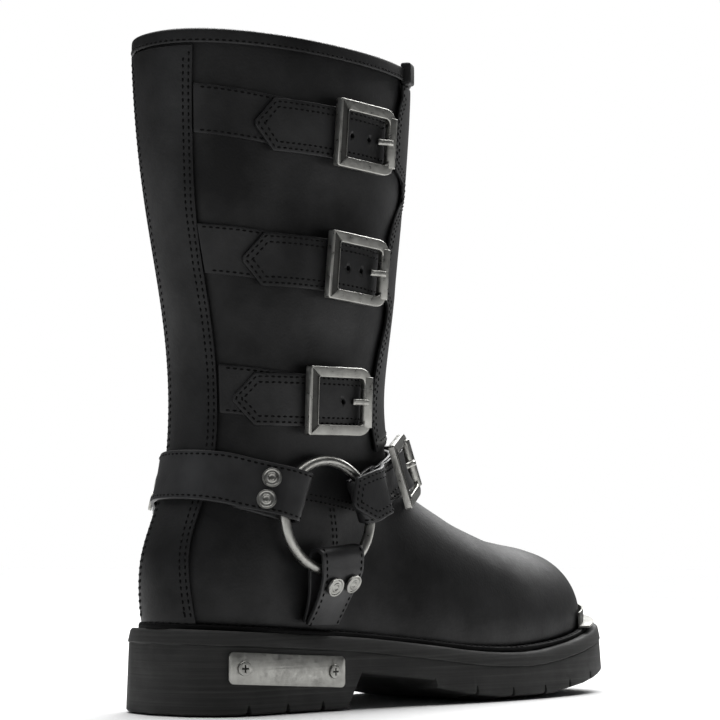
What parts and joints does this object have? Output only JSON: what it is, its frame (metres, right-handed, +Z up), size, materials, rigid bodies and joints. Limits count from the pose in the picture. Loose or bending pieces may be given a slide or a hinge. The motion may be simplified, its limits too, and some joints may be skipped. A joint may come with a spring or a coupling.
{
  "type": "motorcycle boot",
  "caption": "Tall black leather harness boot with buckled shaft straps, ankle rings joined by riveted straps, metal heel and toe plates and a lugged rubber sole.",
  "frame": {"origin": "on the floor under the middle of the boot's box", "axes": "+X towards the toe, +Y towards the wearer's left, the medial side, +Z up the shaft"},
  "size_m": [0.3154, 0.1138, 0.3139],
  "materials": {
    "upper_leather": "satin",
    "strap_leather": "satin",
    "welt_leather": "matte",
    "insole_board": "matte",
    "sole_rubber": "matte",
    "antique_nickel": "brushed"
  },
  "bodies": {
    "root": {"upper": "upper_leather", "back_panel": "upper_leather", "front_panel": "upper_leather", "collar_binding": "upper_leather", "insole": "insole_board", "welt": "welt_leather", "midsole": "sole_rubber", "outsole": "sole_rubber", "heel_plate": "antique_nickel", "heel_plate_screw_1": "antique_nickel", "heel_plate_screw_2": "antique_nickel", "toe_plate": "antique_nickel", "top_base_strap": "strap_leather", "top_tail_strap": "strap_leather", "top_buckle": "antique_nickel", "top_prong": "antique_nickel", "middle_base_strap": "strap_leather", "middle_tail_strap": "strap_leather", "middle_buckle": "antique_nickel", "middle_prong": "antique_nickel", "low_base_strap": "strap_leather", "low_tail_strap": "strap_leather", "low_buckle": "antique_nickel", "low_prong": "antique_nickel", "instep_base_strap": "strap_leather", "instep_tail_strap": "strap_leather", "instep_buckle": "antique_nickel", "instep_prong": "antique_nickel", "heel_strap": "strap_leather", "lateral_ring": "antique_nickel", "lateral_sole_strap": "strap_leather", "lateral_sole_rivet_1": "antique_nickel", "lateral_heel_rivet_1": "antique_nickel", "lateral_sole_rivet_2": "antique_nickel", "lateral_heel_rivet_2": "antique_nickel", "medial_ring": "antique_nickel", "medial_sole_strap": "strap_leather", "medial_sole_rivet_1": "antique_nickel", "medial_heel_rivet_1": "antique_nickel", "medial_sole_rivet_2": "antique_nickel", "medial_heel_rivet_2": "antique_nickel"}
  },
  "joints": []
}
